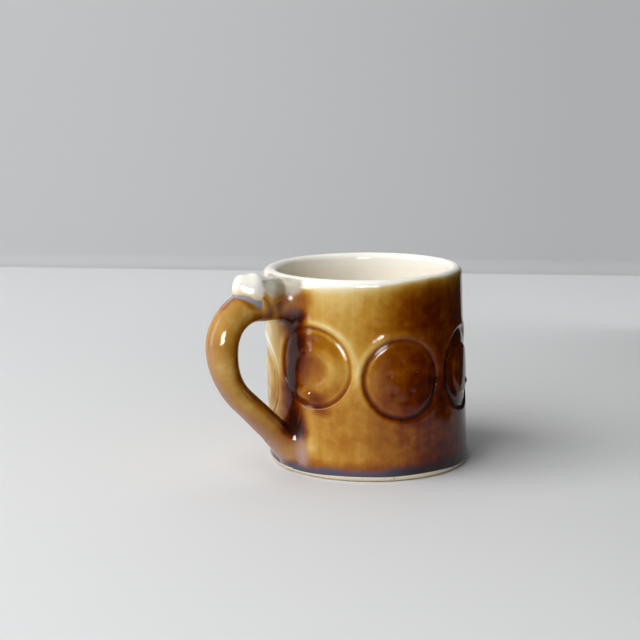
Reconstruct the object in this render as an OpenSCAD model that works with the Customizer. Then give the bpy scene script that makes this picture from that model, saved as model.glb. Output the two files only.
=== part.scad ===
// Hand-built stoneware mug.
// A rolled wall slab stands round a floor slab. Seven pressed medallions ring the wall.
// A pulled coil makes the handle. A saddle-shaped thumb rest lies along its top, and a
// collar of clay is smoothed round each end where it meets the wall.
// The origin is the centre of the foot on the table, +Z is up and the handle points to -X.

/* [Body] */
// Outside diameter of the wall
body_d = 83.4; // [80:0.2:88]
// Height of the wall along its own axis
body_h = 84; // [83:0.5:90]
// Thickness of the rolled wall slab
wall_t = 5.2; // [4.6:0.1:6]
// Thickness of the floor slab
floor_t = 6; // [4:0.5:8]
// How far the whole wall leans towards the handle, in degrees
lean = 2; // [0:0.5:3]
// Width and height of the bevel round the foot
foot_bevel = 1.9; // [1:0.1:2.5]

/* [Medallions] */
// Diameter of the round recess pressed into the wall for each medallion
recess_d = 34; // [31:0.5:35]
// Depth of the recess below the wall's surface
recess_depth = 1.6; // [1.4:0.1:2]
// Diameter of the clay disc seated in the recess
disc_d = 29.6; // [26:0.2:30]
// Thickness of the disc
disc_t = 0.9; // [0.6:0.1:1]
// Height of the relief on the disc
relief_t = 0.9; // [0.4:0.1:1.2]
// Angle from the handle to the first medallion, in degrees
first_angle = 23; // [18:1:30]

/* [Handle] */
// Diameter of the coil along its upper half
coil_d = 13.4; // [12:0.1:14.4]
// Diameter of the coil at its lower end
coil_d_low = 10.8; // [9.6:0.1:12]
// Height of the coil's level upper run
coil_z = 70.8; // [69:0.2:72]
// Reach of the coil's centre line from the mug's axis
coil_reach = 72.6; // [70:0.2:78]
// Radius of the upper bend, a quarter turn
upper_bend_r = 16.3; // [14:0.1:18]
// Radius of the lower bend
lower_bend_r = 31; // [27:0.5:34]
// Turn of the lower bend, in degrees
lower_bend_turn = 46; // [44:0.5:48]
// How far the upper collar spreads beyond the coil at the wall
upper_flare = 5.2; // [3:0.1:6]
// How far the lower collar spreads beyond the coil inside the wall
lower_flare = 3; // [2:0.1:3.2]
// How far each collar reaches out along the coil
collar_reach = 9; // [7:0.5:11]

/* [Thumb rest] */
// Width of the thumb rest
thumb_w = 15; // [14.6:0.2:17]
// Thickness of its raised outer end above the coil
thumb_t = 7; // [5.5:0.1:7]
// Thickness of the dip beside the lip
thumb_dip_t = 1; // [0.6:0.1:2]
// How far it follows the coil's upper bend, in degrees
thumb_turn = 27; // [22:0.5:34]

/* [Hidden] */
$fn = 96;

body_r = body_d / 2;
bore_r = body_r - wall_t;
tall = 2 * body_h;                  // longer than anything it cuts
below = body_h / 4;                 // how far the leaning shapes start under the table
overlap = 0.2;                      // a shared layer that fuses two shapes of one piece

// Centre height of each hand-placed medallion, in turn from the first one
medallion_z = [47.5, 42.2, 40.8, 41.5, 43, 42, 37];
medallion_count = len(medallion_z);

// The relief pressed into each medallion
PLAIN = 0;
BOSS_AND_RING = 1;
INNER_DISC = 2;
medallion_relief = [
    BOSS_AND_RING, PLAIN, INNER_DISC, PLAIN, BOSS_AND_RING, INNER_DISC, BOSS_AND_RING
];

amber = "#a8701f";
dark_amber = "#7a4a14";
white = "#f4f1ea";
bare_clay = "#e3c9a4";

// Everything that belongs to the body leans with it.
module leaned() {
    rotate([0, -lean, 0]) children();
}

// The body's own cylinder at radius r, longer than the wall at both ends.
module body_cylinder(r) {
    leaned() translate([0, 0, -below]) cylinder(r = r, h = tall);
}

function smooth_step(t) = let (u = min(1, max(0, t))) u * u * (3 - 2 * u);

// A solid skinned over rings that all have the same number of points.
module loft(rings) {
    sides = len(rings[0]);
    last = len(rings) - 1;
    skin = [
        for (k = [0:last - 1]) for (j = [0:sides - 1]) let (
            a = k * sides + j,
            b = k * sides + (j + 1) % sides
        ) each [[a, b, b + sides], [a, b + sides, a + sides]]
    ];
    start_cap = [for (j = [sides - 1:-1:0]) j];
    end_cap = [for (j = [0:sides - 1]) last * sides + j];
    polyhedron([for (ring = rings) each ring], concat([start_cap], skin, [end_cap]), convexity = 4);
}

// ---- wall and floor ----

// The tube with its fully rounded lip, running on below the table.
module wall_tube() {
    lip_r = wall_t / 2;
    lip_step = 15;                  // degrees between points round the lip
    leaned() rotate_extrude() polygon(concat(
        [[bore_r, -below], [body_r, -below]],
        [
            for (a = [0:lip_step:180])
                [bore_r + lip_r + lip_r * cos(a), body_h - lip_r + lip_r * sin(a)]
        ]
    ));
}

// An upright space that widens at 45 degrees from the table, then runs on straight.
// It cuts the leaning wall flat at the table and bevels its edge.
module foot_space() {
    foot_r = body_r - foot_bevel;
    cylinder(r1 = foot_r, r2 = foot_r + body_r, h = body_r);
    translate([0, 0, body_r]) cylinder(r = foot_r + body_r, h = tall);
}

// A round bar of diameter d that points out of the wall at one medallion's place.
module medallion_bar(i, d) {
    angle = 180 + first_angle + i * 360 / medallion_count;
    leaned() rotate([0, 0, angle]) translate([0, 0, medallion_z[i]]) rotate([0, 90, 0])
        cylinder(d = d, h = tall);
}

module wall_slab() {
    color(amber) difference() {
        intersection() {
            wall_tube();
            foot_space();
        }
        for (i = [0:medallion_count - 1]) difference() {
            medallion_bar(i, recess_d);
            body_cylinder(body_r - recess_depth);
        }
    }
}

module floor_slab() {
    color(bare_clay) intersection() {
        body_cylinder(bore_r);
        cylinder(r = 2 * body_r, h = floor_t);
    }
}

// ---- medallions ----

// A disc whose two faces follow the wall, between two depths below the wall's surface.
module curved_disc(i, d, deep, shallow) {
    difference() {
        intersection() {
            medallion_bar(i, d);
            body_cylinder(body_r - shallow);
        }
        body_cylinder(body_r - deep);
    }
}

module medallion(i) {
    boss_d = disc_d * 0.34;
    ring_outer_d = disc_d * 0.82;
    ring_inner_d = disc_d * 0.62;
    inner_disc_d = disc_d * 0.66;
    face = recess_depth - disc_t;
    color(dark_amber) {
        curved_disc(i, disc_d, recess_depth, face);
        if (medallion_relief[i] == BOSS_AND_RING) {
            curved_disc(i, boss_d, face + overlap, face - relief_t);
            difference() {
                curved_disc(i, ring_outer_d, face + overlap, face - relief_t / 2);
                medallion_bar(i, ring_inner_d);
            }
        }
        if (medallion_relief[i] == INNER_DISC)
            curved_disc(i, inner_disc_d, face + overlap, face - relief_t);
    }
}

// ---- handle ----

// The centre line runs out level from inside the wall and turns down through the upper
// bend and the lower bend. Then it goes straight back to the wall.
bend_x = coil_reach - upper_bend_r;
run_length = bend_x - bore_r;
upper_length = upper_bend_r * PI / 2;
lower_length = lower_bend_r * lower_bend_turn * PI / 180;
straight_x = coil_reach - lower_bend_r * (1 - cos(lower_bend_turn));
straight_z = coil_z - upper_bend_r - lower_bend_r * sin(lower_bend_turn);
straight_length = (straight_x - bore_r) / sin(lower_bend_turn);
coil_length = run_length + upper_length + lower_length + straight_length;

// [reach, height, turn down from level] at length s along the centre line
function coil_at(s) =
    s < run_length ? [bore_r + s, coil_z, 0]
    : s < run_length + upper_length
        ? let (a = (s - run_length) / upper_length * 90)
            [bend_x + upper_bend_r * sin(a), coil_z - upper_bend_r * (1 - cos(a)), a]
    : s < run_length + upper_length + lower_length
        ? let (a = (s - run_length - upper_length) / lower_length * lower_bend_turn)
            [coil_reach - lower_bend_r * (1 - cos(a)),
             coil_z - upper_bend_r - lower_bend_r * sin(a), 90 + a]
    : let (t = s - run_length - upper_length - lower_length)
        [straight_x - t * sin(lower_bend_turn), straight_z - t * cos(lower_bend_turn),
         90 + lower_bend_turn];

// The coil thins along the lower bend.
function coil_r(s) =
    let (t = smooth_step((s - run_length - upper_length) / lower_length))
    (coil_d + (coil_d_low - coil_d) * t) / 2;

coil_sides = 24;
coil_rings = 44;

module coil() {
    loft([
        for (k = [0:coil_rings]) let (
            s = coil_length * k / coil_rings,
            c = coil_at(s),
            r = coil_r(s)
        ) [
            for (j = [0:coil_sides - 1]) let (a = 360 * j / coil_sides, up = r * cos(a))
                [-(c[0] + up * sin(c[2])), r * sin(a), c[1] + up * cos(c[2])]
        ]
    ]);
}

module handle_coil() {
    color(amber) difference() {
        coil();
        body_cylinder(body_r);
    }
}

// A ring that narrows away from the wall until it lies against a coil of radius r.
module collar(r, flare, length) {
    edge_t = 0.5;                   // thickness left at the ring's thin end
    difference() {
        cylinder(r1 = r + flare, r2 = r + edge_t, h = length);
        translate([0, 0, -1]) cylinder(r = r, h = length + 2);
    }
}

// The lower half of a ring: the thumb rest closes the upper half.
module upper_collar() {
    set_in = 1;                     // starts this far inside the wall's surface
    wall_x = body_r + coil_z * tan(lean);
    color(amber) difference() {
        translate([set_in - wall_x, 0, coil_z]) rotate([0, -90, 0])
            collar(coil_d / 2, upper_flare, set_in + collar_reach);
        translate([-tall, -tall / 2, coil_z]) cube(tall);
        body_cylinder(body_r);
    }
}

module lower_collar() {
    set_in = 10;                    // deep enough to keep the ring's slanted end hidden
    start_z = straight_z - (straight_x - body_r + set_in) / tan(lower_bend_turn);
    color(amber) difference() {
        translate([set_in - body_r, 0, start_z]) rotate([0, -lower_bend_turn, 0])
            collar(coil_d_low / 2, lower_flare, set_in / sin(lower_bend_turn) + collar_reach);
        body_cylinder(body_r);
    }
}

// ---- thumb rest ----

arc_steps = 12;
pad_rings = 26;
end_rings = 6;
end_turn = 8;                       // the part of the turn over which the outer end rounds off
end_angle = 85;                     // the last ring keeps a little width, so it can be closed flat
saddle_angle = 84;                  // the saddle stops a little short of the coil's half height
pad_length = run_length + upper_length * thumb_turn / 90;
round_length = upper_length * end_turn / 90;

// A half ring at the given angle either side of the top, w wide and h high from its centre
function half_ring(w, h, angle) =
    [for (k = [-arc_steps:arc_steps]) let (a = angle * k / arc_steps) [w * sin(a), h * cos(a)]];

function reversed(list) = [for (k = [len(list) - 1:-1:0]) list[k]];

// A saddle section at length s: out over the top, then back along the coil's surface.
// Its thickness is scaled by size.
function saddle_ring(s, size) =
    let (
        c = coil_at(s),
        r = coil_r(s),
        out = s + bore_r - body_r,                     // distance out from the wall
        rise = smooth_step((out - wall_t) / (bend_x - body_r)),
        spread = upper_flare * (1 - smooth_step(out / collar_reach)),
        w = r + size * (thumb_w / 2 - r + spread),
        h = r + size * (thumb_dip_t + (thumb_t - thumb_dip_t) * rise)
    )
    [
        for (p = concat(half_ring(w, h, 90), reversed(half_ring(r, r, saddle_angle))))
            [-(c[0] + p[1] * sin(c[2])), p[0], c[1] + p[1] * cos(c[2])]
    ];

module thumb_rest() {
    color(white) difference() {
        loft(concat(
            [for (k = [0:pad_rings]) saddle_ring((pad_length - round_length) * k / pad_rings, 1)],
            [
                for (k = [1:end_rings]) let (a = end_angle * k / end_rings)
                    saddle_ring(pad_length - round_length * (1 - sin(a)), cos(a))
            ]
        ));
        body_cylinder(body_r);
    }
}

wall_slab();
floor_slab();
handle_coil();
thumb_rest();
upper_collar();
lower_collar();
for (i = [0:medallion_count - 1])
    medallion(i);
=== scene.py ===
"""A hand-built stoneware mug with an amber glaze, a white lip and seven pressed medallions.

Shapes are worked out in millimetres and turned into metres when a mesh is made.
The mug stands at the origin with +Z up, and its handle points to -X.
"""
import math

import bpy
import bmesh
import numpy as np
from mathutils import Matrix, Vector


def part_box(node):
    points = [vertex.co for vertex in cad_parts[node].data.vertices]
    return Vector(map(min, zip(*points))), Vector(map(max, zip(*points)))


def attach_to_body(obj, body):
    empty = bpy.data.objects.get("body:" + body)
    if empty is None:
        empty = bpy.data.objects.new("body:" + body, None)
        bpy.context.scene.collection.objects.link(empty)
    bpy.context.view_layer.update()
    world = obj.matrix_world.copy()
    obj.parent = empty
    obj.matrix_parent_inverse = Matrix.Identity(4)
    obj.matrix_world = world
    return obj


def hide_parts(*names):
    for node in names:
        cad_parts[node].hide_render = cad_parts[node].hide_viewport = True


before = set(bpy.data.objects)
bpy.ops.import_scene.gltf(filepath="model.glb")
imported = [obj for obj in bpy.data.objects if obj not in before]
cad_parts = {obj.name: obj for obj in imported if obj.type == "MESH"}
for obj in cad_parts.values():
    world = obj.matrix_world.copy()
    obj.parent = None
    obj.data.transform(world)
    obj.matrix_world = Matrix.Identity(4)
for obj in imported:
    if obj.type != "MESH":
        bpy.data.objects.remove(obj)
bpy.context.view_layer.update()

MM = 0.001
TAU = 2 * math.pi


# ---- sizes, from the frame ----

def box_mm(node):
    """The low and high corners of a CAD node's box, in mm."""
    low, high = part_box(node)
    return np.array(low) / MM, np.array(high) / MM


wall_low, wall_high = box_mm("wall_slab")
floor_low, floor_high = box_mm("floor_slab")
coil_low, coil_high = box_mm("handle_coil")

BODY_R = (wall_high[1] - wall_low[1]) / 2
BORE_R = (floor_high[1] - floor_low[1]) / 2
WALL_T = BODY_R - BORE_R
FLOOR_T = floor_high[2]
RIM_Z = 0.963 * wall_high[2]        # middle of the glazed rim: its far side stands higher
COIL_R = (coil_high[1] - coil_low[1]) / 2
COIL_Z = coil_high[2] - COIL_R
COIL_REACH = -coil_low[0] - COIL_R

MEDALLIONS = sorted(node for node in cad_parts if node.startswith("medallion_"))
FIRST_ANGLE = math.pi + math.radians(23)     # of the first medallion, just past the handle
DISC_R = 14.8                       # edge of a medallion's decorated face


def medallion_place(index):
    """(angle round the mug, height) of a medallion's middle, in radians and mm."""
    low, high = box_mm(MEDALLIONS[index])
    return FIRST_ANGLE + index * TAU / len(MEDALLIONS), (low[2] + high[2]) / 2


PLACES = [medallion_place(index) for index in range(len(MEDALLIONS))]


# ---- shape helpers ----

def smooth_step(t):
    """0 up to t = 0 and 1 from t = 1, smooth in between."""
    t = np.clip(t, 0.0, 1.0)
    return t * t * (3 - 2 * t)


def bell(distance, width):
    """1 at no distance, falling off smoothly over the width."""
    return np.exp(-(distance / width) ** 2)


def between(value, low, high, fade_in, fade_out):
    """1 from low to high, rising over fade_in past low and falling over fade_out before high."""
    return smooth_step((value - low) / fade_in) * smooth_step((high - value) / fade_out)


def wrapped(angle):
    """The same angle between -pi and pi."""
    return (angle + math.pi) % TAU - math.pi


def new_object(name, vertices, faces, attributes=None):
    """A smooth-shaded mesh object from points in mm, with its normals outwards."""
    mesh = bpy.data.meshes.new(name)
    mesh.from_pydata((np.asarray(vertices) * MM).tolist(), [], faces)
    for key, values in (attributes or {}).items():
        layer = mesh.attributes.new(key, "FLOAT", "POINT")
        layer.data.foreach_set("value", np.asarray(values, dtype=np.float32).ravel())
    shape = bmesh.new()
    shape.from_mesh(mesh)
    bmesh.ops.recalc_face_normals(shape, faces=shape.faces)
    shape.to_mesh(mesh)
    shape.free()
    mesh.shade_smooth()
    made = bpy.data.objects.new(name, mesh)
    bpy.context.scene.collection.objects.link(made)
    return made


def skin(name, rings, attributes=None, wrap_rings=False):
    """A closed surface over rings of points: rings has the shape (rings, points, 3).

    With wrap_rings the last ring joins the first. Otherwise a fan closes both ends.
    """
    count, sides = rings.shape[:2]
    vertices = rings.reshape(-1, 3)
    faces = []
    for k in range(count if wrap_rings else count - 1):
        here = k * sides
        there = (k + 1) % count * sides
        for j in range(sides):
            beside = (j + 1) % sides
            faces.append((here + j, here + beside, there + beside, there + j))
    extra = {key: np.asarray(values, dtype=float).ravel() for key, values in (attributes or {}).items()}
    if not wrap_rings:
        ends = [(0, rings[0]), ((count - 1) * sides, rings[-1])]
        for start, ring in ends:
            centre = len(vertices)
            vertices = np.vstack([vertices, ring.mean(axis=0)])
            for key in extra:
                values = extra[key][start:start + sides]
                extra[key] = np.append(extra[key], values.mean())
            faces += [(start + j, start + (j + 1) % sides, centre) for j in range(sides)]
    return new_object(name, vertices, faces, extra)


def attach(piece, material, slot, *nodes):
    """Gives a piece its material and its body, and hides the nodes it stands for; the slot is not used."""
    piece.data.materials.append(material)
    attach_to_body(piece, "root")
    if nodes:
        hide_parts(*nodes)


# ---- body shape ----

LEAN = 0.047                        # how far the axis moves towards the handle per mm of height
RIM_TILT = 0.012                    # how far the rim rises per mm away from the handle
FOOT_R = BODY_R - 1.9               # edge of the contact with the table
BARE_Z = 2.1                        # height of the bare clay ring
COAT = 0.22                         # thickness of the glaze
GROOVE_R = 16.0                     # radius of the groove round a medallion
RIDGE_R = 18.3                      # radius of the clay pushed up outside the groove
LIP_HALF_H = 2.5                    # height of the lip's rounding
BESIDE_HANDLE = math.radians(150)   # where the lip is fullest
RING_REACH = 24.0                   # how far from its middle a medallion changes the wall
DENT_ANGLE = math.radians(287)      # where the wall is pressed in a little
DENT_Z = 66

# Stored on a mesh in place of the height above bare clay
GLAZED = 30.0                       # far above any bare clay
BARE = -3.0                         # no glaze at all


def body_point(angle, z, radius):
    """A point at a radius from the leaning axis, with the rim's tilt spread over the height."""
    x = radius * np.cos(angle)
    y = radius * np.sin(angle)
    tilt = RIM_TILT * x * np.clip(z / RIM_Z, 0, 1)
    return np.stack(np.broadcast_arrays(x - LEAN * z, y, z + tilt), axis=-1)


def hand_waves(angle, z):
    """The slow unevenness of a hand-rolled wall."""
    return (0.20 * np.sin(2 * angle + 0.6) + 0.13 * np.sin(3 * angle - 1.1 + z / 31)
            + 0.07 * np.sin(5 * angle + z / 17) + 0.05 * np.sin(9 * angle - z / 11))


def body_radius(angle, z):
    """Outer radius of the plain wall: narrower at the top, with one shallow dent."""
    height = z / RIM_Z
    taper = 0.2 - 0.7 * height
    dent = -0.6 * bell(wrapped(angle - DENT_ANGLE), 0.5) * bell(z - DENT_Z, 13)
    return BODY_R + taper + dent + hand_waves(angle, z) * smooth_step(z / 8)


def lip_width(angle):
    """Thickness of the lip: fuller beside the handle."""
    return WALL_T + 0.8 * np.cos(angle - BESIDE_HANDLE)


def foot_line(angle):
    """Height where the glaze ends above the bare foot."""
    return BARE_Z + 0.25 * np.sin(3 * angle + 1) + 0.15 * np.sin(7 * angle)


# Styles of medallion, in turn from the first one
PLAIN, BOSS_AND_RING, INNER_DISC = range(3)
STYLES = [BOSS_AND_RING, PLAIN, INNER_DISC, PLAIN, BOSS_AND_RING, INNER_DISC, BOSS_AND_RING]


def motif(style, across, up):
    """Relief on a medallion's face, in mm."""
    distance = np.hypot(across, up)
    if style == BOSS_AND_RING:
        above_ring = up + 1.5       # height above the ring's middle, which sits low on the disc
        turn = np.arctan2(above_ring, across)
        loop = 8.2 + 0.7 * np.sin(2 * turn + 0.4)
        ring = (0.42 + 0.26 * np.sin(turn + 0.9)) * bell(np.hypot(across, above_ring) - loop, 2.4)
        hollow = -0.40 * bell(np.hypot(across - 1.0, above_ring), 4.3)
        boss = 0.35 * bell(np.hypot(across - 1.6, up + 2.2), 2.4)
        nail_mark = -0.8 * bell(np.hypot(across + 3.6, (up - 5.8) * 0.8), 1.0)
        return ring + hollow + boss + nail_mark
    if style == INNER_DISC:
        disc = 0.85 * smooth_step((11.0 - distance) / 1.8)
        nub = 0.6 * bell(np.hypot(across - 4.6, up + 6.6), 1.2)
        return disc + nub
    dimples = 0
    dimple_count = 5
    for k in range(dimple_count):
        turn = TAU * k / dimple_count + 0.3
        place = 6.4 + 0.8 * math.sin(2.3 * k)
        dimples = dimples + bell(
            np.hypot(across - place * math.cos(turn), up - place * math.sin(turn)), 1.1)
    return -0.26 * dimples - 0.12 * smooth_step((11.5 - distance) / 3)


def drop_of_glaze(across, up):
    """Relief of the round drop that hangs low on the first medallion, on the handle's side."""
    radius = 3.6
    height = 1.7
    distance = np.hypot(across + 4.4, up + 11.8)
    return height * np.maximum(1 - (distance / radius) ** 2, 0)


def pressed_ring(distance, turn):
    """Relief of the groove round a medallion and of the clay pushed up outside it."""
    above = 0.5 + 0.5 * np.sin(turn)
    ridge = (0.11 + 0.18 * above) * bell(distance - RIDGE_R, 2.1)
    groove = -0.75 * bell(distance - GROOVE_R, 0.95)
    sunk = -0.45 * smooth_step((GROOVE_R + 0.6 - distance) / 1.6)
    return ridge + groove + sunk


def ring_depth(across, up):
    """How much deeper the glaze lies in a medallion's groove, and how much thinner on its ridge."""
    distance = np.hypot(across, up)
    turn = np.arctan2(up, across)
    low_right = 0.5 - 0.5 * np.sin(turn + 0.7)
    groove = (0.35 + 0.95 * low_right) * bell(distance - GROOVE_R, 0.6 + 0.5 * low_right)
    ridge = -0.35 * bell(distance - RIDGE_R - 0.3, 1.3) * (0.5 + 0.5 * np.sin(turn))
    drip = 0.6 * bell(across - 3.5, 4.5) * bell(up + 17.8, 1.9)
    return groove + ridge + drip


SHADOW_RUN_ANGLE = math.radians(189)       # of the dark band of painted shadow between the handle's joints


def shadow_run_over(angle, z):
    """How much of the painted shadow band below the upper joint lies here, 0 to 1: a dark run where the
    handle's shadow and reflection fall.
    """
    middle = SHADOW_RUN_ANGLE + 0.04 * np.sin(z / 7)
    return bell(wrapped(angle - middle), 0.125) * between(z, 14, 70, 8, 8)


def groove_openness(angle, z):
    """How open a medallion's groove is here, 0 to 1: it is nearly filled under the painted shadow band."""
    return 1 - 0.8 * shadow_run_over(angle, z)


def medallion_field(angle, z):
    """(relief in mm, glaze depth) of all medallions on the wall at these points."""
    relief = np.zeros(np.broadcast(angle, z).shape)
    depth = np.zeros_like(relief)
    openness = groove_openness(angle, z)
    for place_angle, place_z in PLACES:
        across = BODY_R * wrapped(angle - place_angle)
        up = z - place_z
        distance = np.hypot(across, up)
        ring = pressed_ring(distance, np.arctan2(up, across))
        under_disc = -1.0 * smooth_step((GROOVE_R - distance) / 1.2)
        near = distance < RING_REACH
        relief += np.where(near, ring * openness + under_disc, 0)
        depth += np.where(near, ring_depth(across, up) * openness, 0)
    return relief, depth


def wall_radius(angle, z):
    """Outer radius of the glazed wall with its medallions."""
    relief, _ = medallion_field(angle, z)
    return body_radius(angle, z) + relief + COAT * smooth_step((z - foot_line(angle)) / 0.8)


# ---- where the glaze lies thick and thin ----

THICK_FROM = math.radians(225)      # going round past the handle, the glaze gets thicker from here on
LOW_LIP_ANGLE = math.radians(190)   # where the lip's white glaze comes lowest
SHEEN_ANGLE = math.radians(157)      # painted reflection: a pale band beyond the painted shadow band
LOW_SHEEN_ANGLE = math.radians(200)    # painted reflection: a narrow pale band on its near side, low down


def lip_line(angle):
    """Height where the white glaze of the lip ends: lowest beside the handle."""
    away = smooth_step(np.abs(wrapped(angle - LOW_LIP_ANGLE)) / math.radians(85))
    ragged = 0.16 * np.sin(7 * angle) + 0.10 * np.sin(17 * angle + 1)
    return RIM_Z - 3.2 + 2.6 * away + ragged


def wall_depth(angle, z):
    """Depth of the amber glaze on the wall: 0 is white, 0.5 pale honey, 2 dark brown."""
    turn = np.degrees(wrapped(angle - THICK_FROM))
    thinner_again = 0.6 * smooth_step((turn - 90) / 60) + 0.4 * smooth_step((turn - 140) / 40)
    thick = smooth_step(turn / 52) - thinner_again
    low_down = smooth_step((50 - z) / 25)
    level = 0.56 + 1.60 * thick + 0.25 * low_down * (1 - thick)
    below = lip_line(angle) - z
    faded = 1 - np.exp(-np.maximum(below, 0) / 4.0)
    near_foot = 0.6 * smooth_step((10 - z) / 6)
    return np.where(below > 0, level * faded + near_foot, 0.25 * below)


def joint_depth_and_painted_light(points):
    """Extra depth of glaze round the handle's joints, at points in mm: pooled glaze, with painted shade in
    the creases, a painted shadow band and pale bands of painted reflection.
    """
    x, y, z = points[..., 0], points[..., 1], points[..., 2]
    depth = np.zeros(x.shape)
    # (x, y, z, radius, depth) of each pool of glaze; those in the creases under the upper collar and round
    # the lower joint also stand as painted shade
    pools_and_crease_shade = [
        (-43.4, -11.3, 66.0, 2.9, 2.4),
        (-43.0, 9.5, 66.0, 2.8, 1.8),
        (-43.6, -12.3, 73.5, 5.0, 0.95),
        (-42.3, -13.8, 53.0, 8.5, 0.45),
        (-42.0, 13.0, 73.5, 3.0, 0.8),
        (-39.8, -17.0, 33.0, 3.6, 1.1),
        (-45.5, -3.0, 19.0, 3.6, 1.5),
        (-42.5, -8.5, 18.0, 3.4, 2.0),
        (-43.0, 7.5, 18.0, 3.5, 1.2),
    ]
    for px, py, pz, radius, extra in pools_and_crease_shade:
        distance = np.sqrt((x - px) ** 2 + (y - py) ** 2 + (z - pz) ** 2)
        depth += extra * bell(distance, radius)
    # painted shadow: a dark band down the wall between the two joints, where the handle's shadow and
    # reflection fall
    round_wall = np.arctan2(y, x + LEAN * z)
    near_wall = smooth_step((BODY_R + 4 - np.hypot(x + LEAN * z, y)) / 3)
    depth += 2.0 * shadow_run_over(round_wall, z) * near_wall
    # painted reflections: pale bands beside it, lighter glaze where reflected light falls
    painted_sheen = bell(wrapped(round_wall - SHEEN_ANGLE), 0.25) * between(z, 14, 66, 8, 8)
    painted_low_sheen = bell(wrapped(round_wall - LOW_SHEEN_ANGLE), 0.065) * between(z, 7, 37, 6, 8)
    return depth - (0.42 * painted_sheen + 0.30 * painted_low_sheen) * near_wall


def joint_bloom(points):
    """Mauve and blue-grey bloom on both sides of the handle's lower joint, at points in mm."""
    x, y, z = points[..., 0], points[..., 1], points[..., 2]
    spread = np.sqrt((x + 42.0) ** 2 + (np.abs(y) - 10.2) ** 2 + ((z - 8.5) / 2.2) ** 2)
    return 0.62 * bell(spread, 3.4)


def joint_matt_grey_shade(points):
    """Painted grey shade along the top of the handle's upper joint, where the glaze is also matt, 0 to 1, at
    points in mm.
    """
    x, y, z = points[..., 0], points[..., 1], points[..., 2]
    ragged = 0.8 * np.sin(x * 0.8) + 0.6 * np.sin(y * 0.7 + 1)
    high = smooth_step((z - 74.0 + ragged) / 4.5)
    near_joint = smooth_step((15.5 - np.abs(y)) / 5) * between(-x, 38, 58.5, 3, 2.5)
    return (0.20 + 0.65 * high) * near_joint * between(z, 64, 81.8, 4, 1.2)


# ---- wall ----

WALL_COLUMNS = 620
ROW = 0.42                          # height of one row of faces


def build_wall():
    """The wall slab, from its foot edge over the lip and down the inside to the table."""
    angle = np.linspace(0, TAU, WALL_COLUMNS, endpoint=False)
    width = lip_width(angle)
    lip_z = RIM_Z - LIP_HALF_H
    rows = []
    depths = []
    feet = []

    def add_row(z, radius, depth, foot):
        rows.append(body_point(angle, z, radius))
        depths.append(np.broadcast_to(depth, angle.shape))
        feet.append(np.broadcast_to(foot, angle.shape))

    # the rounded foot edge, from the contact up to the outside
    foot_edge_z = 2.2
    for t in np.linspace(0, 1, 7)[:-1]:
        z = foot_edge_z * t ** 1.5
        radius = FOOT_R + (body_radius(angle, z) - FOOT_R) * math.sin(t * math.pi / 2)
        add_row(z, radius, 2.0, z - foot_line(angle))
    # the outside
    for z in np.arange(foot_edge_z, lip_z, ROW):
        _, ring = medallion_field(angle, z)
        add_row(z, wall_radius(angle, z), wall_depth(angle, z) + ring, z - foot_line(angle))
    # the rounded lip
    outside = wall_radius(angle, lip_z)
    white = -0.5                    # depth that is white however uneven the glaze is
    amber_below = 1.0               # turn up to which the wall's own glaze runs on
    for turn in np.linspace(0, math.pi, 21):
        z = lip_z + LIP_HALF_H * math.sin(turn)
        radius = outside - width / 2 + width / 2 * math.cos(turn)
        add_row(z, radius, wall_depth(angle, z) if turn < amber_below else white, z)
    # the inside, down to the table
    for z in np.linspace(lip_z, FLOOR_T, 26)[1:]:
        wave = 0.6 * hand_waves(angle, z)
        down = smooth_step((lip_z - z) / 30)
        radius = (outside - width) * (1 - down) + (BORE_R + wave) * down
        # painted shade: a slight amber tint, deepened down the inside and towards the handle's side to
        # darken it
        tint_and_painted_shade = 0.02 + 0.07 * (1 + np.cos(angle - BESIDE_HANDLE)) * down
        add_row(z, radius, tint_and_painted_shade, z)
    for z in (FLOOR_T / 2, 0.0):
        add_row(z, BORE_R, 0, BARE)
    add_row(0.0, (BORE_R + FOOT_R) / 2, 0, BARE)
    rows = np.array(rows)
    depths = np.array(depths)
    outer = np.arange(len(rows))[:, None] < np.argmax(rows[:, 0, 2])
    depths = depths + np.where(outer & (depths > 0.1), joint_depth_and_painted_light(rows), 0)
    # bloom is negative under the painted grey shade of the upper joint
    bloom = np.where(outer, joint_bloom(rows) - joint_matt_grey_shade(rows), 0)
    return skin("wall", rows, {"depth": depths, "bloom": bloom, "foot": feet}, wrap_rings=True)


# ---- floor ----

def build_floor():
    """The floor slab, with a cove up to the wall and a flat bare underside."""
    sides = 160
    angle = np.linspace(0, TAU, sides, endpoint=False)
    cove = 5.0
    edge = BORE_R + 0.5
    middle_r = 0.4
    underside_z = 0.05              # the wall's foot takes the contact with the table
    rings = []
    feet = []

    def add_ring(z, radius, foot):
        rings.append(body_point(angle, z, np.full(sides, radius)))
        feet.append(np.full(sides, foot))

    for radius in np.linspace(middle_r, BORE_R - cove, 16):
        add_ring(FLOOR_T + 0.12 * np.sin(radius * 0.9 + angle), radius, GLAZED)
    for turn in np.linspace(0, math.pi / 2, 10)[1:]:
        radius = BORE_R - cove + cove * math.sin(turn) + 0.3
        add_ring(FLOOR_T + cove * (1 - math.cos(turn)), radius, GLAZED)
    for z in (FLOOR_T + cove - 0.5, 1.0):
        add_ring(z, edge, BARE)
    for radius in (edge - 0.6, BORE_R * 0.66, BORE_R * 0.33, middle_r):
        add_ring(underside_z, radius, BARE)
    nearly_white = np.full((len(rings), sides), 0.08)
    return skin("floor", np.array(rings), {"depth": nearly_white, "bloom": nearly_white * 0, "foot": feet})


# ---- medallions ----

WITH_DROP = 0                       # index of the medallion that the drop of glaze hangs on


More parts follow.
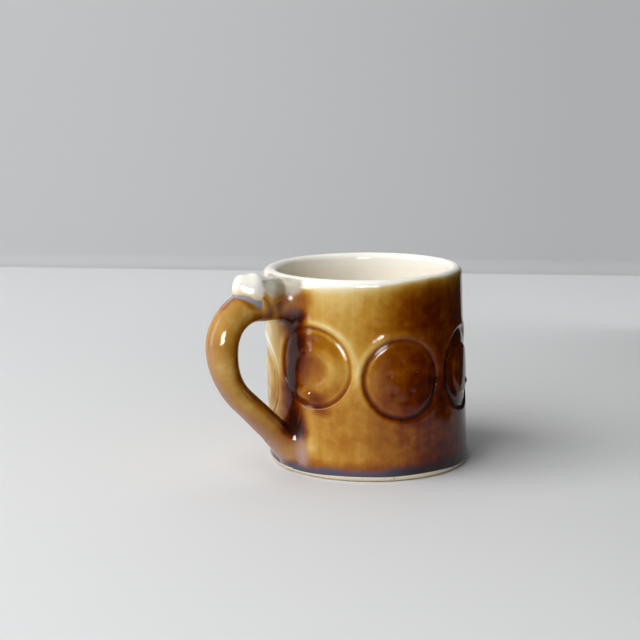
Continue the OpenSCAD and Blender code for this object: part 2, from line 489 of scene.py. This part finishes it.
def build_medallion(index):
    """A disc on the wall, whose skirt runs down into the bottom of its groove."""
    place_angle, place_z = PLACES[index]
    sides = 144
    turn = np.linspace(0, TAU, sides, endpoint=False)
    rings = []
    depths = []
    middle_r = 0.3
    # (distance from the middle, lift above the wall) of each ring of the face and of the skirt
    face_levels = [(distance, 0.03) for distance in np.linspace(middle_r, GROOVE_R + 0.1, 50)]
    skirt_levels = [
        (GROOVE_R + 0.25, -0.25), (GROOVE_R, -0.9), (DISC_R, -1.3), (DISC_R / 2, -2.2), (middle_r, -2.2)]
    plain_below = -1                # lift below which a ring has no relief
    for distance, lift in face_levels + skirt_levels:
        across = distance * np.cos(turn)
        up = distance * np.sin(turn)
        angle = place_angle + across / BODY_R
        z = place_z + up
        inside = smooth_step((DISC_R - distance) / 1.5)
        face = motif(STYLES[index], across, up)
        if index == WITH_DROP:
            face += drop_of_glaze(across, up)
        face *= inside
        dome = 0.3 * (1 - (distance / DISC_R) ** 2) * inside
        openness = groove_openness(angle, z)
        relief = pressed_ring(distance, turn) * openness + face + dome
        height = lift + np.where(lift < plain_below, 0, relief)
        rings.append(body_point(angle, z, body_radius(angle, z) + COAT + height))
        settled = np.clip(0.28 - 0.55 * face, 0.0, 0.5) * inside
        depths.append(wall_depth(angle, z) + ring_depth(across, up) * openness + settled)
    rings = np.array(rings)
    depths = np.array(depths) + joint_depth_and_painted_light(rings)
    zero = np.zeros(depths.shape)
    return skin(MEDALLIONS[index], rings, {"depth": depths, "bloom": zero, "foot": zero + GLAZED})


# ---- handle ----

UPPER_BEND = 16.3                   # radius of the coil's upper bend
LOWER_BEND = 31.0                   # radius of its wider lower bend
LOWER_TURN = math.radians(46)       # how far the lower bend turns back towards the wall
COIL_LOW_R = 5.4                    # radius of the coil's thin lower end

# The coil's centre line: a level run, the upper bend, the lower bend and a straight run back
BEND_X = COIL_REACH - UPPER_BEND
STRAIGHT_X = COIL_REACH - LOWER_BEND * (1 - math.cos(LOWER_TURN))
STRAIGHT_Z = COIL_Z - UPPER_BEND - LOWER_BEND * math.sin(LOWER_TURN)
RUN_LENGTH = BEND_X - BORE_R
UPPER_LENGTH = UPPER_BEND * math.pi / 2
LOWER_LENGTH = LOWER_BEND * LOWER_TURN
STRAIGHT_LENGTH = (STRAIGHT_X - BORE_R) / math.sin(LOWER_TURN)
COIL_LENGTH = RUN_LENGTH + UPPER_LENGTH + LOWER_LENGTH + STRAIGHT_LENGTH


def coil_at(s):
    """(reach, height, turn down from level) of the coil's centre line at length s."""
    if s < RUN_LENGTH:
        return BORE_R + s, COIL_Z, 0.0
    s -= RUN_LENGTH
    if s < UPPER_LENGTH:
        a = s / UPPER_BEND
        return BEND_X + UPPER_BEND * math.sin(a), COIL_Z - UPPER_BEND * (1 - math.cos(a)), a
    s -= UPPER_LENGTH
    if s < LOWER_LENGTH:
        a = s / LOWER_BEND
        return (COIL_REACH - LOWER_BEND * (1 - math.cos(a)), COIL_Z - UPPER_BEND - LOWER_BEND * math.sin(a),
                math.pi / 2 + a)
    s -= LOWER_LENGTH
    return (STRAIGHT_X - s * math.sin(LOWER_TURN), STRAIGHT_Z - s * math.cos(LOWER_TURN),
            math.pi / 2 + LOWER_TURN)


def coil_radius(s):
    """Radius of the coil at length s: it thins along its lower bend."""
    t = smooth_step((s - RUN_LENGTH - UPPER_LENGTH * 0.8) / LOWER_LENGTH)
    return COIL_R + (COIL_LOW_R - COIL_R) * t


def coil_depth(angle, s):
    """Depth of glaze on the coil: thin on its outside, thick on its inside."""
    inner = smooth_step((0.15 - np.cos(angle)) / 1.15)
    outer = bell(wrapped(angle), 0.7)
    banding = 0.12 * np.sin(s / 4.3) * np.sin(s / 11.0 + 2) + 0.1 * np.sin(2 * angle + s / 9)
    lower = smooth_step((s - RUN_LENGTH - UPPER_LENGTH) / 30)
    return 0.56 + 0.16 * lower + 1.12 * inner + 0.25 * outer + banding


def coil_bloom_and_sheen(angle, s):
    """Mauve bloom on the coil's outside, stronger on its lower half, where it is partly a painted reflection
    of the table.
    """
    lower = smooth_step((s - RUN_LENGTH - UPPER_LENGTH * 0.7) / 30)
    return (0.18 + 0.28 * lower) * bell(wrapped(angle - 0.12 * np.sin(s / 8)), 0.95)


def wall_x(y, z):
    """x of the glazed wall on the handle's side, at points no further round than its side."""
    x = -np.sqrt(BODY_R ** 2 - y ** 2)
    for _ in range(3):
        x = -np.sqrt(wall_radius(np.arctan2(y, x) % TAU, z) ** 2 - y ** 2)
    return x - LEAN * z


LOBE_REACH = 60.3                   # where the top of the thumb rest starts to round off
NARROWS_REACH = 56.0                # where its sides start to draw in
TIP_REACH = 67.2                    # its outer end
TIP_Z = 79.0
LOBE_TOP = 83.5
DIP_TOP = 81.0                      # beside the lip
REST_BOTTOM = 67.0                  # inside the coil
REST_ROUNDNESS = 2.4                # of its section: 2 is an ellipse
LIP_REACH = -wall_x(np.array([0.0]), np.array([DIP_TOP]))[0]


def rest_section(reach):
    """(half width, half height, middle height) of the thumb rest at a reach from the axis."""
    beside_lip = smooth_step((LIP_REACH + 4.0 - reach) / 5)
    lobe = smooth_step((reach - LIP_REACH - 3.5) / 10)
    past = np.clip((reach - LOBE_REACH) / (TIP_REACH - LOBE_REACH), 0, 1)
    narrowing = np.clip((reach - NARROWS_REACH) / (TIP_REACH - NARROWS_REACH), 0, 1)
    round_off = np.sqrt(1 - past ** 2) + 0.001
    full_top = DIP_TOP + (LOBE_TOP - DIP_TOP) * lobe - 0.6 * beside_lip
    top = TIP_Z + (full_top - TIP_Z) * round_off
    bottom = TIP_Z + (REST_BOTTOM - TIP_Z) * round_off
    half_w = (6.7 + 1.2 * bell(reach - 51, 5)) * (1 - narrowing ** 2) ** 0.6 + 0.001
    return half_w, (top - bottom) / 2, (top + bottom) / 2


def rest_gap(points):
    """Roughly how far points in mm are outside the thumb rest."""
    half_w, half_h, middle = rest_section(-points[..., 0])
    across = np.abs(points[..., 1] / half_w) ** REST_ROUNDNESS
    up = np.abs((points[..., 2] - middle) / half_h) ** REST_ROUNDNESS
    return ((across + up) ** (1 / REST_ROUNDNESS) - 1) * np.minimum(half_w, half_h)


def build_coil():
    """The handle's coil, a little uneven from pulling, with both ends inside the wall."""
    sides = 96
    count = 200
    first = LEAN * COIL_Z + WALL_T / 2
    last = COIL_LENGTH - 1.6 * WALL_T     # its slanted end needs more room than the level one
    angle = np.linspace(0, TAU, sides, endpoint=False)
    rings = []
    depths = []
    bloom_and_painted_light = []
    for s in np.linspace(first, last, count):
        out_of_round = 0.12 * np.sin(2 * angle + s / 14) + 0.08 * np.sin(3 * angle - s / 9)
        radius = coil_radius(s) + out_of_round + 0.09 * math.sin(s / 6.5)
        reach, z, turn = coil_at(s)
        up = radius * np.cos(angle)
        y = radius * np.sin(angle)
        rings.append(np.stack([-(reach + up * math.sin(turn)), y, z + up * math.cos(turn)], axis=-1))
        depths.append(coil_depth(angle, s))
        bloom_and_painted_light.append(coil_bloom_and_sheen(angle, s))
    rings = np.array(rings)
    gap = rest_gap(rings)
    on_top = smooth_step((rings[..., 2] - 69) / 2)
    depths = np.array(depths) + joint_depth_and_painted_light(rings) + 0.5 * bell(gap - 1.5, 0.9) * on_top
    bloom_and_painted_light = np.array(bloom_and_painted_light) + joint_bloom(rings) + 1.6 * bell(gap - 0.1, 0.55) * on_top
    return skin("handle", rings, {"depth": depths, "bloom": bloom_and_painted_light, "foot": depths * 0 + GLAZED})


def build_joint(name, middle_z, slope, half_y, half_z, flare, fillet, length, end_step, end_length,
                lump_height, paint):
    """Clay smoothed round the coil where it meets the wall.

    The section at a distance out from the wall is an ellipse whose middle is at
    middle_z + slope * out. It spreads towards the wall by flare(angle), starting
    fillet(angle) away from it, and its far end draws in by end_step over end_length. Lumps
    of up to a quarter of lump_height show where it was pressed. paint(points) gives the
    glaze's depth and bloom away from the wall.
    """
    sides = 144
    angle = np.linspace(0, TAU, sides, endpoint=False)
    rings = []

    def add_ring(out, spread):
        y = (half_y + spread) * np.sin(angle)
        z = middle_z + slope * out + (half_z + spread) * np.cos(angle)
        rings.append(np.stack([wall_x(y, z) - out, y, z], axis=-1))

    edge = -0.12                    # just inside the wall's surface
    inside = -0.9
    hidden_step = 0.8               # how far the hidden rings stay inside the coil
    steps = np.linspace(0, 1, 52)
    outs = [edge + (length - edge) * t ** 1.6 for t in steps]
    for t, out in zip(steps, outs):
        near = np.clip(1 - (out - edge) / fillet(angle), 0, 1)
        arc = flare(angle) * (1 - np.sqrt(1 - near ** 2))
        lumps = lump_height * (0.16 * np.sin(5 * angle + out / 2) + 0.1 * np.sin(3 * angle - out)) * t
        end = end_step * (1 - math.sqrt(1 - max(0.0, (out - length + end_length) / end_length) ** 2))
        add_ring(out, arc + lumps - end)
    add_ring(length - 1.0, -end_step - hidden_step)
    add_ring(inside, -hidden_step)
    add_ring(inside, flare(angle) * 0.5)
    rings = np.array(rings)
    on_coil = smooth_step(np.array(outs + [length, 0, 0]) / 2.2)[:, None]
    depth, bloom = paint(rings)
    round_wall = np.arctan2(rings[..., 1], rings[..., 0] + LEAN * rings[..., 2])
    on_wall = wall_depth(round_wall, rings[..., 2])
    depths = depth * on_coil + on_wall * (1 - on_coil) + joint_depth_and_painted_light(rings)
    # bloom from the coil, partly a painted reflection, and less under the painted grey shade
    bloom_and_painted_light = bloom * on_coil + joint_bloom(rings) - joint_matt_grey_shade(rings)
    stored = {"depth": depths, "bloom": bloom_and_painted_light, "foot": rings[..., 2] - BARE_Z}
    return skin(name, rings, stored, wrap_rings=True)


def upper_joint_depth(points):
    """Mottled olive brown, fading to white at the top."""
    x, y, z = points[..., 0], points[..., 1], points[..., 2]
    patches = 0.35 * np.sin(x * 0.55 + 1) * np.sin(z * 0.62 + y * 0.3) + 0.2 * np.sin(x * 1.3 + z * 0.5)
    ragged = 0.5 * np.sin(x * 0.7) + 0.4 * np.sin(y * 0.9 + 1)
    below = 77.5 + 2.5 * smooth_step((x + 54) / 8) + ragged - z
    milky_run = -0.6 * bell(np.hypot(x + 44.5, np.abs(y) - 9.5), 2.6) * smooth_step((z - 67) / 4)
    level = 1.15 + patches + milky_run + 0.5 * smooth_step((70 - z) / 6)
    return np.where(below > 0, level * (1 - np.exp(-np.maximum(below, 0) / 2.0)), 0.25 * below)


def build_upper_collar():
    """The clay round the coil's level run, spread most at its sides and below."""

    def flare(angle):
        return 0.6 + 3.9 * np.abs(np.sin(angle)) + 2.6 * np.maximum(-np.cos(angle), 0)

    def fillet(angle):
        return 4.5 + 1.5 * np.abs(np.sin(angle))

    def paint(points):
        return upper_joint_depth(points), 0

    return build_joint(
        "upper_collar", middle_z=COIL_Z + 1.0, slope=0.0, half_y=COIL_R + 0.75, half_z=COIL_R + 1.3,
        flare=flare, fillet=fillet, length=13.4, end_step=0.75, end_length=2.6, lump_height=0.7,
        paint=paint)


def lower_joint_paint(points):
    """(depth, bloom) as on the coil that the joint's clay is smoothed over."""
    out = -points[..., 0] - STRAIGHT_X
    down = STRAIGHT_Z - points[..., 2]
    along = down * math.cos(LOWER_TURN) - out * math.sin(LOWER_TURN)
    outwards = out * math.cos(LOWER_TURN) + down * math.sin(LOWER_TURN)
    angle = np.arctan2(points[..., 1], outwards)
    s = RUN_LENGTH + UPPER_LENGTH + LOWER_LENGTH + along
    return coil_depth(angle, s), coil_bloom_and_sheen(angle, s)


def build_lower_collar():
    """The clay round the coil's slanted lower end."""

    def flare(angle):
        return 2.9 + 1.9 * np.abs(np.sin(angle))

    def fillet(angle):
        return np.full(angle.shape, 8.5)

    s_at_wall = COIL_LENGTH - WALL_T / math.sin(LOWER_TURN)
    _, middle_z, _ = coil_at(s_at_wall)
    return build_joint(
        "lower_collar", middle_z=middle_z, slope=1 / math.tan(LOWER_TURN), half_y=COIL_LOW_R,
        half_z=COIL_LOW_R / math.sin(LOWER_TURN), flare=flare, fillet=fillet, length=9.5,
        end_step=0.8, end_length=6.0, lump_height=0.0, paint=lower_joint_paint)


# ---- thumb rest ----

def build_thumb_rest():
    """A pad on the coil: a dip beside the lip, then a raised lobe with a round overhanging end."""
    sides = 96
    turn = np.linspace(0, TAU, sides, endpoint=False)
    across = np.sign(np.sin(turn)) * np.abs(np.sin(turn)) ** (2 / REST_ROUNDNESS)
    up = np.sign(np.cos(turn)) * np.abs(np.cos(turn)) ** (2 / REST_ROUNDNESS)
    run = np.linspace(LIP_REACH - 1.2, LOBE_REACH, 34)[:-1]
    tip = LOBE_REACH + (TIP_REACH - LOBE_REACH) * np.sin(np.linspace(0, math.radians(89), 26))
    rings = []
    for reach in np.concatenate([run, tip]):
        half_w, half_h, middle = rest_section(reach)
        lumpy = 1 + 0.03 * np.sin(reach * 0.8 + 2 * turn)
        y = half_w * across * lumpy
        z = middle + half_h * up * lumpy
        rings.append(np.stack([np.full(sides, -reach), y, z], axis=-1))
    rings = np.array(rings)
    x, y, z = rings[..., 0], rings[..., 1], rings[..., 2]
    past_bend = np.maximum(-x - BEND_X, 0)
    coil_top = COIL_Z - UPPER_BEND + np.sqrt(np.maximum((UPPER_BEND + COIL_R) ** 2 - past_bend ** 2, 0))
    over_coil = z - coil_top + COIL_R - np.sqrt(np.maximum(COIL_R ** 2 - y ** 2, 0))
    cream = 0.32 * smooth_step((5.5 - over_coil) / 5) - 0.12
    on_lobe = smooth_step((-x - LIP_REACH - 10.5) / 2.5)
    depths = cream * on_lobe + np.minimum(upper_joint_depth(rings), 0.9) * (1 - on_lobe)
    # blue-grey in the crease, and less under the painted grey shade of the upper joint
    bloom = 1.2 * bell(over_coil, 0.7) * on_lobe - joint_matt_grey_shade(rings)
    return skin("thumb_rest", rings, {"depth": depths, "bloom": bloom, "foot": depths * 0 + GLAZED})


# ---- materials ----

class Nodes:
    """Builds one material's node tree with short calls."""

    def __init__(self, name):
        self.material = bpy.data.materials.new(name)
        self.material.use_nodes = True
        self.tree = self.material.node_tree
        self.tree.nodes.clear()
        self.output = self.add("ShaderNodeOutputMaterial")
        self.shader = self.add("ShaderNodeBsdfPrincipled")
        self.link(self.shader.outputs["BSDF"], self.output.inputs["Surface"])
        self.place = self.add("ShaderNodeTexCoord").outputs["Object"]

    def add(self, kind, **settings):
        node = self.tree.nodes.new(kind)
        for key, value in settings.items():
            setattr(node, key, value)
        return node

    def link(self, source, target):
        self.tree.links.new(source, target)

    def put(self, value, target):
        """Links an output to an input, or sets the input to a plain value."""
        if isinstance(value, bpy.types.NodeSocket):
            self.link(value, target)
        else:
            target.default_value = value

    def attribute(self, name):
        return self.add("ShaderNodeAttribute", attribute_name=name).outputs["Fac"]

    def math(self, operation, a, b=0.0):
        node = self.add("ShaderNodeMath", operation=operation)
        self.put(a, node.inputs[0])
        self.put(b, node.inputs[1])
        return node.outputs[0]

    def noise(self, scale, detail=2.0, stretch=(1, 1, 1), roughness=0.5):
        """Noise from 0 to 1. The scale is in features per metre."""
        mapping = self.add("ShaderNodeMapping")
        self.link(self.place, mapping.inputs["Vector"])
        mapping.inputs["Scale"].default_value = stretch
        node = self.add("ShaderNodeTexNoise")
        self.link(mapping.outputs["Vector"], node.inputs["Vector"])
        node.inputs["Scale"].default_value = scale
        node.inputs["Detail"].default_value = detail
        node.inputs["Roughness"].default_value = roughness
        return node.outputs["Fac"]

    def around(self, value, size):
        """Moves a 0 to 1 value to -size to +size."""
        return self.math("MULTIPLY", self.math("SUBTRACT", value, 0.5), 2 * size)

    def total(self, *values):
        result = values[0]
        for value in values[1:]:
            result = self.math("ADD", result, value)
        return result

    def ramp(self, value, *stops):
        """A colour ramp. Each stop is (position, (red, green, blue)) in linear light."""
        node = self.add("ShaderNodeValToRGB")
        self.put(value, node.inputs["Fac"])
        ramp = node.color_ramp
        while len(ramp.elements) < len(stops):
            ramp.elements.new(0.5)
        for element, (position, colour) in zip(ramp.elements, stops):
            element.position = position
            element.color = (*colour, 1)
        return node.outputs["Color"]

    def span(self, value, low, high):
        """0 at low, 1 at high, smooth in between."""
        node = self.add("ShaderNodeMapRange", interpolation_type="SMOOTHSTEP")
        self.put(value, node.inputs["Value"])
        node.inputs["From Min"].default_value = low
        node.inputs["From Max"].default_value = high
        return node.outputs["Result"]

    def mix(self, factor, a, b):
        """Colour a where the factor is 0 and b where it is 1."""
        node = self.add("ShaderNodeMix", data_type="RGBA")
        self.put(factor, node.inputs["Factor"])
        colours = [s for s in node.inputs if s.type == "RGBA"]
        for value, target in zip((a, b), colours):
            self.put(value if isinstance(value, bpy.types.NodeSocket) else (*value, 1), target)
        return [s for s in node.outputs if s.type == "RGBA"][0]

    def bump(self, *layers):
        """Adds bump layers of (height, distance in metres, strength) under one another."""
        normal = None
        for height, distance, strength in layers:
            node = self.add("ShaderNodeBump")
            node.inputs["Strength"].default_value = strength
            node.inputs["Distance"].default_value = distance
            self.put(height, node.inputs["Height"])
            if normal is not None:
                self.link(normal, node.inputs["Normal"])
            normal = node.outputs["Normal"]
        self.link(normal, self.shader.inputs["Normal"])


WHITE = (0.89, 0.86, 0.78)
ABSORPTION = (1.0, 1.95, 4.8)        # of the amber glaze in red, green and blue, per unit of depth
DEEPEST = 2.8                        # depth at which the glaze looks like ink
INK = (0.030, 0.006, 0.003)
# painted shade: grey over the top of the handle's upper joint
SHADE_GREY = (0.40, 0.37, 0.30)
# mauve bloom, also standing as a painted reflection on the handle's outside
MAUVE_AND_SHEEN = (0.37, 0.24, 0.20)
BLOOM = (0.27, 0.30, 0.40)
PLUM = (0.17, 0.075, 0.065)
SLATE = (0.078, 0.080, 0.128)
DARK_SLATE = (0.024, 0.014, 0.020)
CLAY = (0.70, 0.58, 0.42)
PALE_CLAY = (0.80, 0.70, 0.54)
CLAY_SPECK = (0.34, 0.22, 0.13)


def through_glaze(depth):
    """Colour of the white body seen through a depth of amber glaze."""
    return tuple(white * math.exp(-absorbed * depth) for white, absorbed in zip(WHITE, ABSORPTION))


def glaze(name):
    """The amber glaze, with the white lip, the blue foot band and bare clay where they show.

    Three values stored on the meshes drive it. depth says how deep the amber glaze lies
    over the white body; it also carries painted shade inside the mug and beside the handle,
    and pale bands of painted reflection. bloom is positive under a mauve bloom, which turns
    blue-grey as it thickens, and on the handle's outside is partly a painted reflection; it is
    negative under painted grey shade, where the glaze is matt. foot is the distance above bare clay.
    """
    n = Nodes(name)
    depth = n.attribute("depth")
    bloom = n.attribute("bloom")
    foot = n.attribute("foot")
    clouds = n.noise(45, 3)
    mottle = n.noise(260, 4)
    streaks = n.noise(170, 3, stretch=(1, 1, 0.10))
    fine_streaks = n.noise(520, 2, stretch=(1, 1, 0.07))

    unevenness = n.total(
        1.0, n.around(clouds, 0.42), n.around(mottle, 0.34), n.around(streaks, 0.20),
        n.around(fine_streaks, 0.08))
    settled = n.math("MULTIPLY", depth, unevenness)
    stops = [(d / DEEPEST, through_glaze(d)) for d in (0.0, 0.15, 0.35, 0.65, 1.0, 1.5, 2.1)]
    coated = n.ramp(n.math("DIVIDE", settled, DEEPEST), *stops, (1.0, INK))

    # bloom carries the mauve bloom, partly a painted reflection on the handle, and, where negative, painted
    # grey shade that also makes the glaze matt
    patchy_bloom_and_painted_light = n.math("MULTIPLY", bloom, n.total(1.0, n.around(mottle, 0.6)))
    grey_shade_and_matt = n.span(patchy_bloom_and_painted_light, 0.0, -1.0)
    mauve_and_sheen = n.math("MULTIPLY", n.span(patchy_bloom_and_painted_light, 0.0, 0.5), 0.75)
    coated = n.mix(mauve_and_sheen, coated, MAUVE_AND_SHEEN)
    coated = n.mix(n.span(patchy_bloom_and_painted_light, 0.45, 0.95), coated, BLOOM)
    coated = n.mix(grey_shade_and_matt, coated, SHADE_GREY)

    band_height = n.total(foot, 0.7, n.around(streaks, 1.2), n.around(clouds, 2.4))
    pale_band = n.ramp(n.span(band_height, 0.0, 4.2), (0.0, SLATE), (0.45, SLATE), (1.0, PLUM))
    band = n.mix(n.span(depth, 1.1, 2.6), pale_band, DARK_SLATE)
    coated = n.mix(n.span(band_height, 5.2, 2.0), coated, band)

    grain = n.noise(2600, 3, roughness=0.7)
    specks = n.noise(900, 1)
    clay = n.mix(n.span(specks, 0.70, 0.76), n.mix(grain, CLAY, PALE_CLAY), CLAY_SPECK)
    bare = n.span(foot, 0.15, -0.15)
    n.link(n.mix(bare, coated, clay), n.shader.inputs["Base Color"])

    gloss = n.total(
        0.06, n.math("MULTIPLY", clouds, 0.05), n.math("MULTIPLY", grey_shade_and_matt, 0.8), n.math("MULTIPLY", bare, 0.75))
    n.link(gloss, n.shader.inputs["Roughness"])
    n.shader.inputs["Specular IOR Level"].default_value = 0.25
    n.shader.inputs["IOR"].default_value = 1.52
    n.bump(
        (n.noise(130, 2), 0.00030, 0.4),
        (n.noise(620, 2), 0.00006, 0.35),
        (n.math("MULTIPLY", grain, bare), 0.0004, 0.6))
    return n.material


# ---- stage, light and camera ----

TABLE_FRONT = 230.0                 # distance from the mug to the table's front edge
TABLE_BACK = 540.0                  # and to where it bends up
TABLE_Z = -0.05                     # just clear of the mug's underside
CAMERA_DISTANCE = 620.0
CAMERA_HEIGHT = 169.7
CAMERA_ANGLE = math.radians(233)    # direction from the mug to the camera
CAMERA_YAW = 0.0336                 # how far it looks to the left of the mug
CAMERA_PITCH = 0.1773               # how far it looks down
SENSOR_WIDTH = 36
LENS = 84.2
AIM_Z = 50.0                        # height on the mug that the lights point at
TOWARDS_CAMERA = np.array([math.cos(CAMERA_ANGLE), math.sin(CAMERA_ANGLE)])
SIDEWAYS = np.array([-TOWARDS_CAMERA[1], TOWARDS_CAMERA[0]])     # to the picture's right


def stage_point(right, back, z):
    """A point in mm from distances to the picture's right and away from the camera."""
    flat = SIDEWAYS * right - TOWARDS_CAMERA * back
    return (flat[0], flat[1], z)


def build_camera():
    """A camera a little above the rim, with the mug below and right of the picture's middle."""
    camera = bpy.data.cameras.new("camera")
    camera.sensor_width = SENSOR_WIDTH
    camera.lens = LENS
    thing = bpy.data.objects.new("camera", camera)
    bpy.context.scene.collection.objects.link(thing)
    level = math.cos(CAMERA_PITCH)
    place = Vector(stage_point(0, -CAMERA_DISTANCE, CAMERA_HEIGHT)) * MM
    aim = Vector(stage_point(
        -math.sin(CAMERA_YAW) * level, math.cos(CAMERA_YAW) * level, -math.sin(CAMERA_PITCH)))
    thing.location = place
    thing.rotation_euler = aim.to_track_quat("-Z", "Y").to_euler()
    camera.clip_start = 0.01
    bpy.context.scene.camera = thing


def plain_material(name, colour, roughness):
    """A matt material for the stage."""
    material = bpy.data.materials.new(name)
    material.use_nodes = True
    shader = material.node_tree.nodes["Principled BSDF"]
    shader.inputs["Base Color"].default_value = (*colour, 1)
    shader.inputs["Roughness"].default_value = roughness
    shader.inputs["Specular IOR Level"].default_value = 0.2
    return material


def build_stage():
    """A pale table that bends up into a grey backdrop, a little skew to the camera."""
    half_width = 900.0
    skew = -0.064                   # how far the table's back edge comes forward per mm to the right
    cove = 13.0
    top_z = 1400.0
    top_back = 60.0                 # how far the backdrop leans back
    # (distance behind the table's back edge, height) of the backdrop's rows
    profile = [(0.0, TABLE_Z)]
    for turn in np.linspace(0, math.radians(80), 7):
        profile.append((cove * math.sin(turn), cove * (1 - math.cos(turn))))
    profile.append((profile[-1][0] + top_back, top_z))

    def sheet(name, rows, colour):
        points = [stage_point(right, back + skew * right * follow, z)
                  for back, z, follow in rows for right in (-half_width, half_width)]
        faces = [(2 * k, 2 * k + 1, 2 * k + 3, 2 * k + 2) for k in range(len(rows) - 1)]
        made = new_object(name, points, faces)
        made.data.materials.append(plain_material(name, colour, 0.9))

    sheet("table", [(-TABLE_FRONT, TABLE_Z, 0), (TABLE_BACK, TABLE_Z, 1)], (0.68, 0.685, 0.69))
    sheet("backdrop", [(TABLE_BACK + back, z, 1) for back, z in profile], (0.46, 0.465, 0.47))


def build_flag():
    """A black card to the right of the view, which the camera can't see."""
    edge = 18.0                     # outside the view's right side
    spread = 0.18                   # of the view's right side, per mm away from the camera
    far = 300.0
    top_z = 900.0
    corners = []
    for back in (-TABLE_FRONT, far):
        right = spread * (CAMERA_DISTANCE + back) + edge
        corners += [stage_point(right, back, 0), stage_point(right, back, top_z)]
    flag = new_object("flag", corners, [(0, 1, 3, 2)])
    flag.data.materials.append(plain_material("flag", (0.01, 0.01, 0.01), 1.0))
    flag.visible_camera = False


def area_light(name, direction, rise, distance, size, radiance, diffuse=True, glossy=True):
    """A soft rectangular light that points at the mug.

    The direction is in degrees to the right of the camera's side and the rise above level.
    Its radiance is 1 when it looks as bright as white paper in full light.
    """
    light = bpy.data.lights.new(name, "AREA")
    light.shape = "RECTANGLE"
    light.size, light.size_y = size
    light.energy = radiance * math.pi * size[0] * size[1]
    thing = bpy.data.objects.new(name, light)
    bpy.context.scene.collection.objects.link(thing)
    level = distance * math.cos(math.radians(rise))
    right = level * math.sin(math.radians(direction))
    back = -level * math.cos(math.radians(direction))
    up = distance * math.sin(math.radians(rise)) + AIM_Z
    thing.location = Vector(stage_point(right, back, up)) * MM
    aim = Vector((0, 0, AIM_Z * MM)) - thing.location
    thing.rotation_euler = aim.to_track_quat("-Z", "Y").to_euler()
    thing.visible_diffuse = diffuse
    thing.visible_glossy = glossy


def build_lights():
    """Soft lights for the colours, and two that show only as reflections in the glaze."""
    area_light(
        "window", direction=-54, rise=42, distance=1300, size=(1.6, 1.3), radiance=3.9, glossy=False)
    area_light(
        "window_reflection", direction=5, rise=6, distance=1500, size=(0.60, 0.44), radiance=42,
        diffuse=False)
    area_light(
        "white_wall", direction=-70, rise=12, distance=1300, size=(0.42, 1.4), radiance=5.5,
        diffuse=False)
    area_light(
        "room_fill", direction=115, rise=60, distance=1500, size=(1.0, 1.0), radiance=1.9, glossy=False)
    area_light(
        "front_fill", direction=-12, rise=9, distance=1300, size=(1.2, 0.5), radiance=2.4, glossy=False)
    area_light(
        "backdrop_light", direction=-150, rise=60, distance=1500, size=(0.8, 0.8), radiance=1.2,
        glossy=False)
    world = bpy.data.worlds.new("room")
    world.use_nodes = True
    room = world.node_tree.nodes["Background"]
    room.inputs["Color"].default_value = (0.95, 0.97, 1.0, 1)
    room.inputs["Strength"].default_value = 0.04
    bpy.context.scene.world = world


def build_mug():
    """Builds each piece and puts it in place of its CAD node."""
    coat = glaze("glaze")
    attach(build_wall(), coat, "amber_glaze", "wall_slab")
    attach(build_floor(), coat, "white_glaze", "floor_slab")
    for index, node in enumerate(MEDALLIONS):
        attach(build_medallion(index), coat, "amber_glaze", node)
    attach(build_coil(), coat, "amber_glaze", "handle_coil")
    attach(build_upper_collar(), coat, "amber_glaze", "upper_collar")
    attach(build_lower_collar(), coat, "amber_glaze", "lower_collar")
    attach(build_thumb_rest(), coat, "white_glaze", "thumb_rest")


build_camera()
build_mug()
build_stage()
build_flag()
build_lights()
bpy.context.scene.view_settings.view_transform = "Standard"
